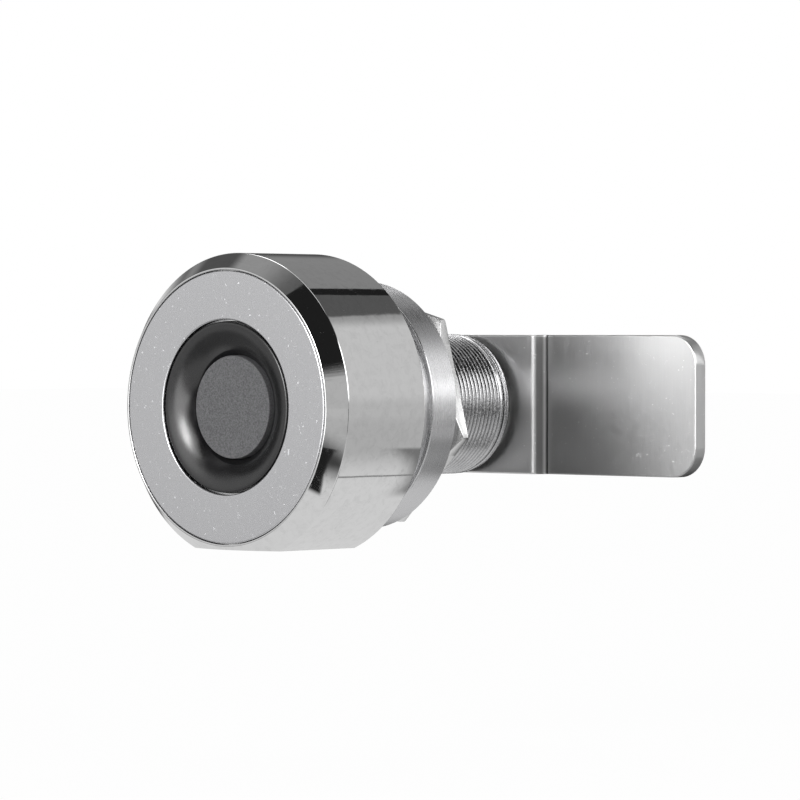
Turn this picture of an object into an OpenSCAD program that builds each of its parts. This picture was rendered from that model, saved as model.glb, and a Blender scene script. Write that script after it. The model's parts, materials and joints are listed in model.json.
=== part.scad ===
// Fingerprint cam lock for a cabinet or drawer panel.
// Millimetres. The lock's axis is Y: the face looks towards -Y, +Z is up, the cam reaches towards +X.
// The origin is on the axis, in the plane of the collar's rear face, where the panel sits.

/* [Knob head] */
// outside diameter of the knob
head_d = 40; // [36:0.5:46]
// length of the knob from its face to its rear edge
head_len = 16.95; // [16.5:0.05:20]
// axial length of the front bevel
bevel_len = 2.2; // [1:0.1:3]
// radial drop of the front bevel
bevel_drop = 1.95; // [1:0.05:2.2]
// depth of the flat under the knob
flat_drop = 1.5; // [0.8:0.1:1.8]
// wall of the knob around its cavity
head_wall = 3; // [2.6:0.1:3.4]
// thickness of the web behind the face ring
web_t = 1.5; // [1.2:0.1:2]
// small bevel on the knob's rear edge
rear_edge = 0.4; // [0.2:0.1:0.8]
// axial gap between the knob and the collar
head_gap = 0.5; // [0.3:0.05:0.8]

/* [Face ring] */
// width of the knob's rim around the face ring
rim_w = 0.25; // [0.2:0.05:0.6]
// thickness of the face ring
ring_t = 1.2; // [0.8:0.1:1.6]
// broken edge of the face ring
ring_edge = 0.15; // [0.05:0.05:0.3]
// radial gap around the face ring
ring_gap = 0.1; // [0.05:0.01:0.15]

/* [Bezel and sensor] */
// radial gap between the bezel and the face ring
bezel_gap = 0.25; // [0.1:0.05:0.4]
// width of the bezel's flat lip
lip_w = 0.5; // [0.3:0.05:0.8]
// width of the bezel's dish between the lip and the pad
dish_w = 3.8; // [3:0.1:4.4]
// how far the lip sits below the face
lip_drop = 0.1; // [0:0.05:0.3]
// radius of the bezel's rolled slope in section
dish_r = 5.2; // [4:0.1:8]
// how far the slope runs down past the pad's face
dish_trough = 0.9; // [0.3:0.1:1]
// how far the bezel's flange reaches past its sleeve
bezel_flange = 0.8; // [0.5:0.1:0.9]
// thickness of the bezel's flange
bezel_flange_t = 1.5; // [1:0.1:2]
// diameter of the fingerprint pad
sensor_d = 13.4; // [12:0.1:15]
// depth of the pad below the face
sensor_drop = 1.4; // [1:0.1:2]
// how far the sensor's flange reaches past the pad
sensor_flange = 1.15; // [0.8:0.05:1.6]
// thickness of the sensor's flange
sensor_flange_t = 0.95; // [0.6:0.05:1.2]
// thickness of the sensor's board
sensor_board_t = 0.8; // [0.6:0.1:1]

/* [Electronics] */
// thickness of the main board
board_t = 1; // [0.8:0.1:1.2]
// wall between the cell's corners and the carrier's edge
cell_wall = 1.8; // [1:0.1:3]
// wall between the cell and the screw boss above it
cell_gap = 1.1; // [0.8:0.1:2]
// thickness of the cell along the axis
cell_y = 6; // [4:0.5:6]
// size of the controller chip
chip_w = 5; // [3:0.5:5]
// size of the motor driver
driver_w = 3; // [2:0.5:3]
// height of the chips
chip_h = 0.9; // [0.6:0.1:1]
// width of the cell's connector
plug_w = 8; // [6:0.5:10]
// depth of the cell's connector
plug_t = 3.5; // [3:0.5:4]
// diameter of the motor
motor_d = 6; // [5:0.5:6.5]
// length of the motor's can
motor_len = 7.7; // [6:0.1:8]
// wall of the motor's can
can_t = 0.35; // [0.3:0.05:0.5]
// gap between the motor's rotor and its can
rotor_gap = 0.4; // [0.3:0.05:0.6]
// diameter of the motor's shaft
shaft_d = 1; // [0.8:0.1:1.2]
// width of the charging socket
usb_w = 7.5; // [7:0.1:9]
// height of the charging socket along the axis
usb_t = 2.7; // [2.4:0.1:3.2]
// depth of the charging socket
usb_len = 5.5; // [5:0.1:6]
// corners cut off the charging socket's front
usb_corner = 0.9; // [0.5:0.1:1.2]
// thickness of the charging socket's shell
usb_wall = 0.4; // [0.3:0.05:0.5]

/* [Base plate and stop] */
// thickness of the base plate
base_t = 2; // [1.6:0.1:2.4]
// step of the base plate past the cavity
base_step = 0.6; // [0.3:0.1:0.8]
// height of the base plate's rim in front of the plate
rim_len = 1.95; // [1.5:0.05:2.5]
// diameter of the hub that turns in the collar
hub_d = 22; // [20:0.5:23]
// length of the hub behind the base plate
hub_len = 6.75; // [6.25:0.05:7.5]
// distance of the hub's groove behind the base plate
groove_at = 4.05; // [3:0.05:5]
// width of the hub's groove for the retaining pins
hub_groove_w = 1.7; // [1.6:0.05:2]
// depth of the hub's groove
hub_groove_deep = 1; // [0.6:0.1:1.2]
// diameter of the retaining pins
retain_d = 1.5; // [1.2:0.1:1.5]
// diameter of the screw bosses
boss_d = 4; // [3.6:0.1:4.4]
// distance of the screw bosses' centres from the cavity's wall
boss_in = 2.6; // [2.4:0.1:2.8]
// diameter of the screws' shanks
screw_d = 1.7; // [1.4:0.1:2]
// diameter of the screws' heads
screw_head_d = 3.6; // [3:0.1:3.8]
// length of the screws
screw_len = 6; // [4:0.5:8]
// diameter of the stop pin
stop_d = 2; // [1.5:0.1:2.2]
// circle radius of the stop pin
stop_r = 14.2; // [14:0.1:14.4]
// reach of the stop pin into the collar
stop_deep = 2; // [1.5:0.1:2.5]
// turn that the stop allows, in degrees
turn = 90; // [60:5:120]

/* [Clutch] */
// stroke of the clutch pin
stroke = 2; // [1.5:0.1:2]
// diameter of the clutch pin's keyed body
clutch_d = 6.6; // [6:0.1:7]
// size across the clutch pin's key flats
clutch_flats = 5.2; // [4.8:0.1:5.6]
// length of the clutch pin's body
clutch_len = 2; // [1.8:0.1:2.2]
// thickness of the clutch dog
dog_t = 2; // [1.6:0.1:2.4]
// width of the clutch dog
dog_w = 6; // [5:0.1:6.2]
// diameter of the lead screw
lead_d = 2.4; // [2:0.1:2.6]
// length of the drive nut
drive_nut_len = 1.4; // [1:0.1:1.6]
// length of the clutch spring
spring_len = 2; // [1.8:0.1:2.4]
// wire diameter of the clutch spring
spring_wire = 0.45; // [0.3:0.05:0.5]
// coils of the clutch spring
spring_turns = 3; // [2:0.5:3]

/* [Lock body] */
// diameter of the collar
collar_d = 33; // [30:0.5:36]
// length of the collar
collar_len = 9.35; // [8.6:0.05:11]
// broken edge at the collar's rear rim
collar_edge = 0.3; // [0.1:0.05:0.5]
// outside diameter of the threaded barrel
barrel_d = 19; // [18:0.1:20]
// length of the barrel behind the panel plane
barrel_len = 19.1; // [16:0.1:24]
// pitch of the barrel's thread
thread_pitch = 1.18; // [0.8:0.02:2]
// depth of the thread
thread_deep = 0.42; // [0.2:0.02:0.6]
// width of the thread's crests and roots, as a share of its pitch
thread_flat = 0.12; // [0.05:0.01:0.2]
// plain length between the panel plane and the thread
thread_start = 0.4; // [0.2:0.1:1]
// length of the plain ring at the barrel's end
end_ring_len = 1.6; // [1:0.1:2.4]
// width of the groove in front of the end ring
end_groove_w = 0.4; // [0.2:0.05:0.8]
// depth of that groove
end_groove_deep = 0.5; // [0.2:0.05:0.8]
// bore of the barrel
bore_d = 14; // [13:0.1:14.5]

/* [Nut] */
// size across the nut's flats
nut_flats = 28; // [24:0.5:30]
// thickness of the nut
nut_t = 3.2; // [2.4:0.1:5]
// angle of the nut's first corner above +X
nut_turn = 45; // [0:1:60]
// angle of the turned bevel on the nut's corners
nut_bevel = 30; // [20:1:40]

/* [Spindle] */
// diameter of the spindle's shaft
spindle_d = 10; // [9:0.1:10.5]
// diameter of the spindle's slotted head
spindle_head_d = 16; // [13:0.1:17]
// thickness of the spindle's head
spindle_head_t = 3.25; // [3:0.05:4]
// size across the square that carries the cam
cam_square = 7; // [6:0.1:7]
// length of each bush
bush_len = 6; // [4:0.5:8]
// thickness of the rear shim
shim_t = 0.4; // [0.3:0.05:0.8]
// outside diameter of the rear shim
shim_d = 16.8; // [14:0.1:18]

/* [Cam] */
// width of the cam plate
cam_w = 18.8; // [16:0.1:22]
// thickness of the cam plate
cam_t = 2.05; // [1.5:0.05:3]
// reach of the cam from the axis
cam_reach = 39.2; // [32:0.1:55]
// offset of the cam's outer part to the rear
cam_crank = 2; // [1:0.1:4]
// where the crank starts, from the axis
crank_start = 9.4; // [9:0.1:14]
// angle of the crank's slope
crank_angle = 45; // [30:1:60]
// inside radius of the first bend
bend_r1 = 1.45; // [0.8:0.05:2]
// inside radius of the second bend
bend_r2 = 0.95; // [0.6:0.05:1.2]
// corner radius at the cam's tip
tip_r = 4; // [2:0.1:6]

/* [Cam fastening] */
// diameter of the flat washer
washer_d = 12.4; // [11:0.1:14]
// thickness of the flat washer
washer_t = 1; // [0.8:0.1:1.4]
// diameter of the split washer
lock_washer_d = 9.2; // [8:0.1:10]
// thickness of the split washer
lock_washer_t = 1.1; // [0.8:0.1:1.4]
// gap in the split washer
lock_split = 0.8; // [0.5:0.1:1.2]
// thread diameter of the cam screw
cam_screw_d = 5; // [4:0.5:5]
// size across the cam screw's head
cam_head_flats = 8; // [7:0.5:9]
// height of the cam screw's head
cam_head_t = 3.5; // [2.5:0.1:4]
// length of the cam screw's shank
cam_screw_len = 13; // [10:1:16]

/* [Fits] */
// radial clearance of turning and sliding fits
run_fit = 0.05; // [0.03:0.01:0.08]
// clearance of pieces that sit fast in their seats
seat_fit = 0.02; // [0.01:0.01:0.05]
// clearance of pieces dropped into their pockets
drop_fit = 0.1; // [0.05:0.01:0.15]

/* [Hidden] */
$fn = 96;
eps = 0.01;
head_r = head_d / 2;
rear_y = -collar_len - head_gap;
face_y = rear_y - head_len;
web_y = face_y + ring_t;
cavity_y = web_y + web_t;
cavity_r = head_r - head_wall;
flat_h = head_r - flat_drop;
boss_r = cavity_r - boss_in;
seat_r = cavity_r + base_step;
base_y = rear_y - base_t;
recess_r = head_r - bevel_drop - rim_w;
ring_r = recess_r - ring_gap;
// bezel and sensor
bezel_hole_r = sensor_d / 2 + drop_fit;
bezel_r = bezel_hole_r + dish_w + lip_w;
ring_hole_r = bezel_r + bezel_gap;
bezel_rear = cavity_y + bezel_flange_t;
flange_r = bezel_r + bezel_flange;
sensor_y = face_y + sensor_drop;
sensor_flange_r = sensor_d / 2 + sensor_flange;
sensor_flange_y = bezel_rear - sensor_flange_t;
sensor_board_r = sensor_flange_r + 1.65;
sensor_board_y = bezel_rear;
// carrier, cell, board
frame_r = cavity_r - drop_fit;
floor_y = sensor_board_y + sensor_board_t;
board_y = base_y - rim_len - board_t;
motor_y = floor_y + 1.5;
cell_low = motor_d / 2 + 1.3;
cell_z = boss_r - boss_d / 2 - cell_gap - cell_low;
cell_x = 2 * sqrt(pow(frame_r - cell_wall, 2) - pow(cell_low + cell_z, 2));
cell_rear = board_y - drop_fit;
chip_y = board_y + board_t - eps;
usb_low = -flat_h + 0.2;
// hub and clutch
hub_r = hub_d / 2;
hub_end = rear_y + hub_len;
clutch_rear = hub_end - (stroke + 0.1);
clutch_front = clutch_rear - clutch_len;
drive_nut_rear = clutch_front - spring_len;
can_rear = motor_y + motor_len;
rotor_r = motor_d / 2 - can_t - rotor_gap;
lead_front = can_rear + 0.5;
lead_rear = clutch_front + 0.3;
spring_r = clutch_flats / 2 - spring_wire / 2 - 0.08;
groove_mid = rear_y + groove_at;
// lock body and spindle
collar_r = collar_d / 2;
barrel_r = barrel_d / 2;
thread_end = barrel_len - end_ring_len - end_groove_w;
hub_floor = hub_end + 0.2;
spindle_front = hub_floor + 0.1;
spindle_shoulder = spindle_front + spindle_head_t;
head_floor = spindle_shoulder + 0.15;
shim_y = barrel_len;
cam_y = barrel_len + shim_t + run_fit;
cam_rear = cam_y + cam_t;
square_end = cam_rear - 0.2;
lock_washer_y = cam_rear + washer_t;
cam_head_y = lock_washer_y + lock_washer_t;
stop_start = 135;
screw_head_h = (screw_head_d - screw_d) / 2;

// a solid of revolution about Y from points [radius, y]
module turned(points) rotate([-90, 0, 0]) rotate_extrude() polygon(points);

// a ring or disc about Y
module ring(outer, inner, y0, y1) {
  turned([[inner, y0], [outer, y0], [outer, y1], [inner, y1]]);
}

// a straight hole or pin along Y
module rod(r, y0, y1, x = 0, z = 0) translate([x, y0, z]) rotate([-90, 0, 0]) cylinder(r = r, h = y1 - y0);

// a box between two corners
module block(a, b) translate(a) cube(b - a);

// children copied to an angle above +X, seen from the face
module at_angle(a, r) translate([r * cos(a), 0, r * sin(a)]) children();

// the thread in section: ridges that run round the barrel, a pitch apart
function ridges() = let (
    count = floor((thread_end - thread_start) / thread_pitch),
    flat = thread_flat * thread_pitch,
    flank = thread_pitch / 2 - flat,
    root_r = barrel_r - thread_deep
  ) [for (i = [0 : count - 1]) let (y = thread_start + i * thread_pitch)
    for (p = [[barrel_r, 0], [root_r, flank], [root_r, flank + flat], [barrel_r, 2 * flank + flat]])
      [p[0], y + p[1]]];

// the charging socket's outline across its depth
function socket_outline(grow) = let (
    x = usb_w / 2 + grow,
    y0 = board_y - usb_t - grow,
    y1 = board_y + grow
  ) [[-x, y1], [-x, y0 + usb_corner], [-x + usb_corner, y0],
    [x - usb_corner, y0], [x, y0 + usb_corner], [x, y1]];

// the places of the screw bosses
module at_bosses() for (k = [0 : 2]) at_angle(90 + 120 * k, boss_r) children();

// the keyed section shared by the hub's bore, the drive nut and the clutch pin
module keyed(grow, y0, y1) intersection() {
  rod(clutch_d / 2 + grow, y0, y1);
  block([-clutch_d, y0, -clutch_flats / 2 - grow], [clutch_d, y1, clutch_flats / 2 + grow]);
}

module lock_body() color("silver") difference() {
  turned(concat(
    [[hub_r + run_fit, -collar_len], [collar_r, -collar_len], [collar_r, -collar_edge],
      [collar_r - collar_edge, 0], [barrel_r, 0]],
    ridges(),
    [[barrel_r, thread_end], [barrel_r - end_groove_deep, thread_end],
      [barrel_r - end_groove_deep, thread_end + end_groove_w], [barrel_r - 0.3, thread_end + end_groove_w],
      [barrel_r - 0.05, thread_end + end_groove_w + 0.25], [barrel_r - 0.05, barrel_len - 0.25],
      [barrel_r - 0.3, barrel_len], [bore_d / 2, barrel_len], [bore_d / 2, head_floor],
      [spindle_head_d / 2 + drop_fit, head_floor], [spindle_head_d / 2 + drop_fit, hub_floor],
      [hub_r + run_fit, hub_floor]]
  ));
  // the groove that the stop pin runs in
  stop_track();
  // the holes for the retaining pins
  for (a = [180, 270]) rotate([0, -a, 0]) translate([hub_r - 1, groove_mid, 0])
    rotate([0, 90, 0]) cylinder(r = retain_d / 2 + seat_fit, h = head_r);
}

module stop_track() {
  track = stop_d / 2 + drop_fit;
  slack = asin(1.3 * drop_fit / stop_r) * 2;
  low = stop_start - turn - slack;
  high = stop_start + slack;
  difference() {
    ring(stop_r + track, stop_r - track, -collar_len - 1, -collar_len + stop_deep + 0.3);
    // everything outside the sector from low to high
    translate([0, -collar_len - 2, 0]) rotate([-90, 0, 0]) linear_extrude(stop_deep + 4)
      polygon(concat([[0, 0]], [for (k = [0 : 8]) let (a = high + (360 - high + low) * k / 8)
        [collar_d * cos(a), -collar_d * sin(a)]]));
  }
  for (a = [low, high]) at_angle(a, stop_r) rod(track, -collar_len - 1, -collar_len + stop_deep + 0.3);
}

module hex_nut() color("gainsboro") difference() {
  corner = nut_flats / sqrt(3);
  bevel_r = nut_flats / 2 - 0.1;
  // the bevels' cones run on a little past the corners
  rim = corner + 0.2;
  rim_h = (rim - bevel_r) * tan(nut_bevel);
  intersection() {
    rotate([0, -nut_turn, 0]) rotate([-90, 0, 0]) cylinder(r = corner, h = nut_t, $fn = 6);
    turned([[0, 0], [bevel_r, 0], [rim, rim_h], [rim, nut_t - rim_h], [bevel_r, nut_t], [0, nut_t]]);
  }
  rod(barrel_r + run_fit, -1, nut_t + 1);
}

module thrust_washer() color("dimgray") {
  ring(stop_r - stop_d / 2 - 3 * drop_fit, hub_r + 2 * drop_fit, rear_y + run_fit, -collar_len);
}

module retaining_pins() color("gray") for (a = [180, 270])
  rotate([0, -a, 0]) translate([hub_r - hub_groove_deep + 0.2, groove_mid, 0]) rotate([0, 90, 0])
    cylinder(r = retain_d / 2, h = collar_r - 0.2 - (hub_r - hub_groove_deep + 0.2));

module bush(y0) ring(bore_d / 2 - seat_fit, spindle_d / 2 + run_fit, y0, y0 + bush_len);

module front_bush() color("goldenrod") bush(head_floor + 0.3);

module rear_bush() color("goldenrod") bush(barrel_len - bush_len);

module rear_shim() color("lightgray") ring(shim_d / 2, spindle_d / 2 + drop_fit, shim_y, shim_y + shim_t);

module head_housing() color("silver") difference() {
  union() {
    difference() {
      turned([
        [0, web_y], [recess_r, web_y], [recess_r, face_y], [head_r - bevel_drop, face_y],
        [head_r, face_y + bevel_len], [head_r, rear_y - rear_edge], [head_r - rear_edge, rear_y],
        [seat_r + seat_fit, rear_y], [seat_r + seat_fit, base_y], [cavity_r, base_y],
        [cavity_r, cavity_y], [0, cavity_y]
      ]);
      rod(bezel_r + drop_fit, web_y - 1, cavity_y + 1);
    }
    at_bosses() rod(boss_d / 2, cavity_y - eps, base_y);
  }
  // the flat on the underside
  block([-head_d, face_y - 1, -head_d], [head_d, rear_y + 1, -flat_h]);
  // the screws' holes in the bosses
  at_bosses() rod(screw_d / 2 + seat_fit, base_y + base_t - screw_len - 0.5, base_y + 1);
  // the charging slot through the flat
  translate([0, 0, -head_d]) linear_extrude(head_d - cavity_r + 2) polygon(socket_outline(2 * drop_fit));
}

module face_ring() color("lightgray") turned([
  [ring_hole_r, web_y], [ring_hole_r, face_y + ring_edge], [ring_hole_r + ring_edge, face_y],
  [ring_r - ring_edge, face_y], [ring_r, face_y + ring_edge], [ring_r, web_y]
]);

// in section the bezel rolls over in an arc from its lip down to the trough around the pad
module sensor_bezel() color("black") {
  lip = [bezel_r - lip_w, face_y + lip_drop];
  foot = [bezel_hole_r, sensor_y + dish_trough];
  along = (lip - foot) / norm(lip - foot);
  rise = sqrt(dish_r * dish_r - pow(norm(lip - foot) / 2, 2));
  centre = (lip + foot) / 2 + rise * [-along[1], along[0]];
  difference() {
    rotate([-90, 0, 0]) rotate_extrude() difference() {
      polygon([
        [foot[0], lip[1]], [foot[0], sensor_flange_y - 0.05],
        [sensor_flange_r + drop_fit, sensor_flange_y - 0.05], [sensor_flange_r + drop_fit, bezel_rear],
        [flange_r, bezel_rear], [flange_r, cavity_y], [bezel_r, cavity_y], [bezel_r, lip[1]]
      ]);
      // what lies outside the arc between the foot and the lip
      difference() {
        polygon([[foot[0] - 1, lip[1] - 1], [lip[0], lip[1] - 1], lip, foot, [foot[0] - 1, foot[1]]]);
        translate(centre) circle(dish_r);
      }
    }
    // the flange makes room for bosses that reach it
    at_bosses() rod(boss_d / 2 + drop_fit, cavity_y - drop_fit, bezel_rear + 1);
  }
}

module fingerprint_sensor() color("dimgray") turned([
  [0, sensor_y], [sensor_d / 2 - 0.15, sensor_y], [sensor_d / 2, sensor_y + 0.15],
  [sensor_d / 2, sensor_flange_y], [sensor_flange_r, sensor_flange_y], [sensor_flange_r, bezel_rear],
  [0, bezel_rear]
]);

module sensor_board() color("darkgreen") rod(sensor_board_r, sensor_board_y, floor_y);

module inner_frame() color("darkslategray") difference() {
  turned([
    [0, floor_y], [sensor_board_r + drop_fit, floor_y], [sensor_board_r + drop_fit, bezel_rear],
    [flange_r + drop_fit, bezel_rear], [flange_r + drop_fit, cavity_y], [frame_r, cavity_y],
    [frame_r, board_y], [0, board_y]
  ]);
  rod(motor_d / 2 + run_fit, motor_y, board_y + 1);
  block([-cell_x / 2 - drop_fit, cell_rear - cell_y, cell_low - drop_fit],
    [cell_x / 2 + drop_fit, board_y + 1, cell_low + cell_z + drop_fit]);
  block([-usb_w / 2 - drop_fit, board_y - usb_t - drop_fit, -head_d],
    [usb_w / 2 + drop_fit, board_y + 1, usb_low + usb_len + drop_fit]);
  at_bosses() rod(boss_d / 2 + drop_fit, cavity_y - 1, board_y + 1);
}

module battery() color("royalblue") {
  block([-cell_x / 2, cell_rear - cell_y, cell_low], [cell_x / 2, cell_rear, cell_low + cell_z]);
}

module main_board() color("darkgreen") difference() {
  union() {
    rod(frame_r, board_y, board_y + board_t);
    // the controller, the motor driver and the cell's connector
    chip([-motor_d / 2 - 1.5 - chip_w, -motor_d / 4 - chip_w / 2], [chip_w, chip_w]);
    chip([motor_d / 2 + 2, -driver_w], [driver_w, 1.5 * driver_w]);
    chip([-plug_w / 2, cell_low + 1.7], [plug_w, plug_t]);
  }
  rod(motor_d / 2 + drop_fit, board_y - 1, board_y + 3);
  at_bosses() rod(boss_d / 2 + drop_fit, board_y - 1, board_y + 3);
}

// a part on the board's rear side, from its low corner and its size in X and Z
module chip(low, size) translate([low[0], chip_y, low[1]]) cube([size[0], chip_h + eps, size[1]]);

// a thin shell with its tongue, open towards the flat
module usb_socket() color("lightgray") {
  tongue_in = 2 * usb_corner;
  translate([0, 0, usb_low]) difference() {
    linear_extrude(usb_len) polygon(socket_outline(0));
    translate([0, 0, -1]) linear_extrude(usb_len) polygon(socket_outline(-usb_wall));
  }
  block([-usb_w / 2 + tongue_in, board_y - usb_t / 2 - 0.3, usb_low + 0.6],
    [usb_w / 2 - tongue_in, board_y - usb_t / 2 + 0.3, usb_low + usb_len - 0.5]);
}

// the motor's can, with the boss that its shaft runs in
module motor_can() color("gray") turned([
  [0, motor_y], [motor_d / 2, motor_y], [motor_d / 2, can_rear], [shaft_d, can_rear],
  [shaft_d, can_rear + 0.3], [shaft_d / 2 + run_fit, can_rear + 0.3], [shaft_d / 2 + run_fit, can_rear - can_t],
  [motor_d / 2 - can_t, can_rear - can_t], [motor_d / 2 - can_t, motor_y + can_t], [0, motor_y + can_t]
]);

// the rotor on its shaft, which turns the lead screw
module motor_rotor() color("peru") {
  rod(rotor_r, motor_y + can_t + rotor_gap, can_rear - can_t - rotor_gap);
  rod(shaft_d / 2, motor_y + can_t + run_fit, lead_front + 1.4);
}

module base_plate() color("silver") difference() {
  union() {
    rod(seat_r, base_y, rear_y);
    ring(frame_r, boss_r + 1, board_y + board_t, base_y + eps);
    rod(hub_r, base_y, hub_end);
  }
  // the bore that the clutch slides in
  keyed(run_fit, base_y - 1, hub_end + 1);
  // cored hollow around the clutch bore
  ring(hub_r - 2.4, clutch_d / 2 + 1.7, base_y - 1, hub_end - 1.2);
  // groove for the retaining pins
  ring(hub_r + 1, hub_r - hub_groove_deep, groove_mid - hub_groove_w / 2, groove_mid + hub_groove_w / 2);
  // room for the bosses, and the countersunk screws
  at_bosses() {
    rod(boss_d / 2 + drop_fit, board_y, base_y);
    rod(screw_d / 2 + run_fit, base_y - 1, rear_y + 1);
    translate([0, rear_y - screw_head_h, 0]) rotate([-90, 0, 0])
      cylinder(r1 = screw_d / 2 + run_fit, r2 = screw_head_d / 2 + run_fit, h = screw_head_h + eps);
  }
  at_angle(stop_start, stop_r) rod(stop_d / 2 + seat_fit, base_y + 0.3, rear_y + 1);
}

module base_screws() color("gray") at_bosses() difference() {
  translate([0, rear_y, 0]) turned([
    [0, -screw_len], [screw_d / 2, -screw_len], [screw_d / 2, -screw_head_h],
    [screw_head_d / 2, 0], [0, 0]
  ]);
  // cross recess
  for (a = [0, 90]) translate([0, rear_y, 0]) rotate([0, a, 0]) block([-1, -0.7, -0.2], [1, 1, 0.2]);
}

module stop_pin() color("gray") at_angle(stop_start, stop_r)
  rod(stop_d / 2, base_y + 0.3, -collar_len + stop_deep);

module drive_screw() color("goldenrod") difference() {
  rod(lead_d / 2, lead_front, lead_rear);
  rod(shaft_d / 2 + seat_fit, lead_front - 1, lead_front + 1.5);
}

module drive_nut() color("khaki") difference() {
  keyed(0, drive_nut_rear - drive_nut_len, drive_nut_rear);
  rod(lead_d / 2 + run_fit, drive_nut_rear - drive_nut_len - 1, drive_nut_rear + 1);
}

// one unbroken helical wire, its ends seated on the drive nut and the clutch pin
module clutch_spring() color("silver") {
  steps = 20;
  sides = 8;
  rows = floor(spring_turns * steps);
  rise = spring_len - spring_wire - 2 * seat_fit;
  wire = spring_wire / 2;
  path = [for (i = [0 : rows]) let (a = 360 * i / steps)
    [spring_r * cos(a), drive_nut_rear + seat_fit + wire + rise * i / rows, spring_r * sin(a), a]];
  points = [for (p = path) for (k = [0 : sides - 1]) let (b = 360 * k / sides)
    [p[0] + wire * cos(b) * cos(p[3]), p[1] + wire * sin(b), p[2] + wire * cos(b) * sin(p[3])]];
  walls = [for (i = [0 : rows - 1]) for (k = [0 : sides - 1])
    [i * sides + k, i * sides + (k + 1) % sides, (i + 1) * sides + (k + 1) % sides, (i + 1) * sides + k]];
  first = [for (k = [0 : sides - 1]) sides - 1 - k];
  last = [for (k = [0 : sides - 1]) rows * sides + k];
  polyhedron(points, concat([first], walls, [last]), convexity = 6);
}

module clutch_pin() color("khaki") {
  difference() {
    keyed(0, clutch_front, clutch_rear);
    rod(lead_d / 2 + 2 * drop_fit, clutch_front - 1, clutch_front + clutch_len / 2 + drop_fit);
  }
  intersection() {
    rod(clutch_d / 2, clutch_rear - eps, hub_end);
    block([-dog_w / 2, clutch_rear - eps, -dog_t / 2], [dog_w / 2, hub_end, dog_t / 2]);
  }
}

module spindle() color("silver") difference() {
  union() {
    rod(spindle_head_d / 2, spindle_front, spindle_shoulder);
    rod(spindle_d / 2, spindle_front, cam_y);
    intersection() {
      block([-cam_square / 2, cam_y - eps, -cam_square / 2], [cam_square / 2, square_end, cam_square / 2]);
      rod(spindle_d / 2, cam_y - 1, cam_rear);
    }
  }
  // the slot that the clutch dog drops into
  block([-head_d, spindle_front - 1, -dog_t / 2 - drop_fit],
    [head_d, spindle_front + stroke + 0.2, dog_t / 2 + drop_fit]);
  rod(cam_screw_d / 2 + seat_fit, cam_head_y - cam_screw_len - 1, square_end + 1);
}

// the plate's side view: two bends with the slope between them
module cam_side() {
  a = crank_angle;
  r1 = bend_r1 + cam_t;
  drop = cam_crank - (r1 + bend_r2) * (1 - cos(a));
  slope = drop / sin(a);
  x1 = crank_start;
  x2 = x1 + r1 * sin(a);
  x3 = x2 + slope * cos(a);
  x4 = x3 + bend_r2 * sin(a);
  y2 = r1 * (1 - cos(a));
  y3 = y2 + drop;
  square([x1 + cam_w + eps, cam_t]);
  // first bend, centred behind the plate
  translate([x1 + cam_w, 0]) {
    sector(r1, bend_r1, [0, r1], -90, -90 + a);
    translate([x2 - x1, y2]) rotate(a) translate([-eps, 0]) square([slope + 2 * eps, cam_t]);
    sector(bend_r2 + cam_t, bend_r2, [x4 - x1, cam_crank - bend_r2], 90, 90 + a);
    translate([x4 - x1 - eps, cam_crank]) square([cam_reach - x4 + eps, cam_t]);
  }
}

// a ring sector between two angles, from circles and a wedge
module sector(outer, inner, centre, a0, a1) translate(centre) intersection() {
  difference() {
    circle(outer);
    circle(inner);
  }
  polygon([[0, 0], 2 * outer * [cos(a0), sin(a0)], 2 * outer * [cos((a0 + a1) / 2), sin((a0 + a1) / 2)],
    2 * outer * [cos(a1), sin(a1)]]);
}

module cam_plate() color("lightgray") difference() {
  intersection() {
    // the cranked strip, as wide as the plate
    translate([-cam_w, cam_y, -cam_w / 2]) linear_extrude(cam_w) cam_side();
    // the outline: round about the spindle, rounded corners at the tip
    translate([0, cam_y - 1, 0]) rotate([-90, 0, 0]) linear_extrude(cam_crank + cam_t + 2) union() {
      circle(cam_w / 2);
      translate([0, -cam_w / 2]) square([cam_reach - tip_r, cam_w]);
      translate([0, -cam_w / 2 + tip_r]) square([cam_reach, cam_w - 2 * tip_r]);
      for (s = [-1, 1]) translate([cam_reach - tip_r, s * (cam_w / 2 - tip_r)]) circle(tip_r);
    }
  }
  block([-cam_square / 2 - run_fit, cam_y - 1, -cam_square / 2 - run_fit],
    [cam_square / 2 + run_fit, cam_rear + 1, cam_square / 2 + run_fit]);
}

module cam_washer() color("lightgray") {
  ring(washer_d / 2, cam_screw_d / 2 + 0.2, cam_rear, cam_rear + washer_t);
}

module lock_washer() color("gray") difference() {
  ring(lock_washer_d / 2, cam_screw_d / 2 + 0.1, lock_washer_y, cam_head_y);
  translate([0, lock_washer_y - 1, 0]) rotate([0, 20, 0])
    block([0, 0, -lock_split / 2], [lock_washer_d, lock_washer_t + 2, lock_split / 2]);
}

module cam_screw() color("gainsboro") {
  corner = cam_head_flats / sqrt(3);
  bevel_r = cam_head_flats / 2 - 0.1;
  rim = corner + 0.2;
  rim_h = (rim - bevel_r) * tan(30);
  intersection() {
    translate([0, cam_head_y, 0]) rotate([-90, 0, 0]) cylinder(r = corner, h = cam_head_t, $fn = 6);
    turned([[0, cam_head_y], [rim, cam_head_y], [rim, cam_head_y + cam_head_t - rim_h],
      [bevel_r, cam_head_y + cam_head_t], [0, cam_head_y + cam_head_t]]);
  }
  rod(cam_screw_d / 2, cam_head_y - cam_screw_len, cam_head_y + eps);
}

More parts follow.
